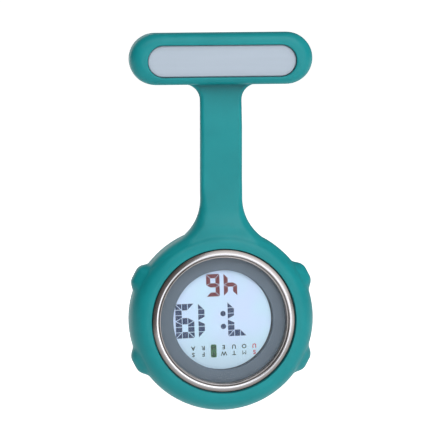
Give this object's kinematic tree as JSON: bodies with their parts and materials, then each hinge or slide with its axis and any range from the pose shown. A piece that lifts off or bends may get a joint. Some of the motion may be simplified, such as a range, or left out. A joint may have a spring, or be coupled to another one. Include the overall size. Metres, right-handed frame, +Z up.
{
  "type": "fob watch",
  "caption": "Nurse's fob watch: a round digital watch hung upside down in a soft silicone holder with a strap, push buttons, a plain label plate and a hinged brooch pin behind its head.",
  "frame": {"origin": "on the brooch needle's axis, half way along the head, as the watch hangs on a tunic", "axes": "+X to the right as seen from the front, along the needle towards its point; +Z up; the dial and label face -Y"},
  "size_m": [0.0414, 0.0127, 0.0849],
  "materials": {
    "silicone": "matt moulded silicone",
    "label_metal": "satin, plain",
    "black_plastic": "moulded",
    "brooch_steel": "bright nickel plate",
    "case_steel": "brushed",
    "bezel_chrome": "polished",
    "crystal_glass": "clear, polished",
    "seal_rubber": "matt",
    "dial_grey": "printed, satin",
    "polarizer_film": "pale film with dark display segments",
    "cell_glass": "two thin glass sheets with liquid crystal between",
    "reflector_foil": "satin foil",
    "guide_acrylic": "frosted",
    "module_plastic": "moulded",
    "zebra_rubber": "striped elastomer",
    "board": "solder mask",
    "chip_resin": "resin drop",
    "can_metal": "tin plated",
    "led_resin": "clear resin",
    "spring_steel": "bright spring steel",
    "cell_can": "nickel plated",
    "screw_steel": "plated",
    "piezo_brass": "brass disc with a ceramic face"
  },
  "bodies": {
    "holder": {"silicone_head": "silicone", "label_plate": "label_metal", "pin_carrier": "black_plastic", "brooch_bar": "brooch_steel", "brooch_rivets": "brooch_steel", "hinge_pin": "brooch_steel"},
    "needle": {"brooch_needle": "brooch_steel"},
    "roller": {"catch_roller": "brooch_steel"},
    "strap_1": {"strap_segment_1": "silicone"},
    "strap_2": {"strap_segment_2": "silicone"},
    "strap_3": {"strap_segment_3": "silicone"},
    "watch": {"silicone_pocket": "silicone", "case_body": "case_steel", "bezel": "bezel_chrome", "crystal_gasket": "seal_rubber", "crystal": "crystal_glass", "dial_ring": "dial_grey", "front_polarizer": "polarizer_film", "display_glass": "cell_glass", "display_reflector": "reflector_foil", "light_guide": "guide_acrylic", "module_frame": "module_plastic", "zebra_strips": "zebra_rubber", "circuit_board": "board", "chip_blob": "chip_resin", "quartz_crystal": "can_metal", "backlight_led": "led_resin", "battery_contact": "spring_steel", "battery": "cell_can", "battery_clamp": "spring_steel", "module_screws": "screw_steel", "piezo_disc": "piezo_brass", "piezo_contact": "spring_steel", "back_gasket": "seal_rubber", "case_back": "case_steel", "case_back_screws": "case_steel", "button_spring_upper_right": "spring_steel", "button_spring_upper_left": "spring_steel", "button_spring_lower_left": "spring_steel", "button_spring_lower_right": "spring_steel"},
    "button_upper_right": {"button_upper_right": "case_steel", "button_pad_upper_right": "silicone", "button_seal_upper_right": "seal_rubber", "button_clip_upper_right": "spring_steel"},
    "button_upper_left": {"button_upper_left": "case_steel", "button_pad_upper_left": "silicone", "button_seal_upper_left": "seal_rubber", "button_clip_upper_left": "spring_steel"},
    "button_lower_left": {"button_lower_left": "case_steel", "button_pad_lower_left": "silicone", "button_seal_lower_left": "seal_rubber", "button_clip_lower_left": "spring_steel"},
    "button_lower_right": {"button_lower_right": "case_steel", "button_pad_lower_right": "silicone", "button_seal_lower_right": "seal_rubber", "button_clip_lower_right": "spring_steel"}
  },
  "joints": [
    {"name": "needle_hinge", "type": "hinge", "parent": "holder", "child": "needle", "pos_m": [-0.0125, 0, 0], "axis": [0, 0, 1], "range_deg": [0, 100]},
    {"name": "catch_turn", "type": "hinge", "parent": "holder", "child": "roller", "pos_m": [0.012, 0, 0], "axis": [-1, 0, 0], "range_deg": [0, 90]},
    {"name": "strap_bend_1", "type": "hinge", "parent": "holder", "child": "strap_1", "pos_m": [0, -0.0054, -0.012], "axis": [-1, 0, 0], "range_deg": [-10, 30], "stiffness_Nm_per_rad": 0.008},
    {"name": "strap_bend_2", "type": "hinge", "parent": "strap_1", "child": "strap_2", "pos_m": [0, -0.0054, -0.0175], "axis": [-1, 0, 0], "range_deg": [-10, 30], "stiffness_Nm_per_rad": 0.008},
    {"name": "strap_bend_3", "type": "hinge", "parent": "strap_2", "child": "strap_3", "pos_m": [0, -0.0054, -0.023], "axis": [-1, 0, 0], "range_deg": [-10, 30], "stiffness_Nm_per_rad": 0.008},
    {"name": "strap_bend_4", "type": "hinge", "parent": "strap_3", "child": "watch", "pos_m": [0, -0.0054, -0.0285], "axis": [-1, 0, 0], "range_deg": [-10, 30], "stiffness_Nm_per_rad": 0.008},
    {"name": "push_upper_right", "type": "slide", "parent": "watch", "child": "button_upper_right", "axis": [-0.887, 0, -0.4617], "range_m": [0, 0.0007], "stiffness_N_per_m": 600, "deforming": ["button_spring_upper_right"]},
    {"name": "push_upper_left", "type": "slide", "parent": "watch", "child": "button_upper_left", "axis": [0.887, 0, -0.4617], "range_m": [0, 0.0007], "stiffness_N_per_m": 600, "deforming": ["button_spring_upper_left"]},
    {"name": "push_lower_left", "type": "slide", "parent": "watch", "child": "button_lower_left", "axis": [0.887, 0, 0.4617], "range_m": [0, 0.0007], "stiffness_N_per_m": 600, "deforming": ["button_spring_lower_left"]},
    {"name": "push_lower_right", "type": "slide", "parent": "watch", "child": "button_lower_right", "axis": [-0.887, 0, 0.4617], "range_m": [0, 0.0007], "stiffness_N_per_m": 600, "deforming": ["button_spring_lower_right"]}
  ]
}
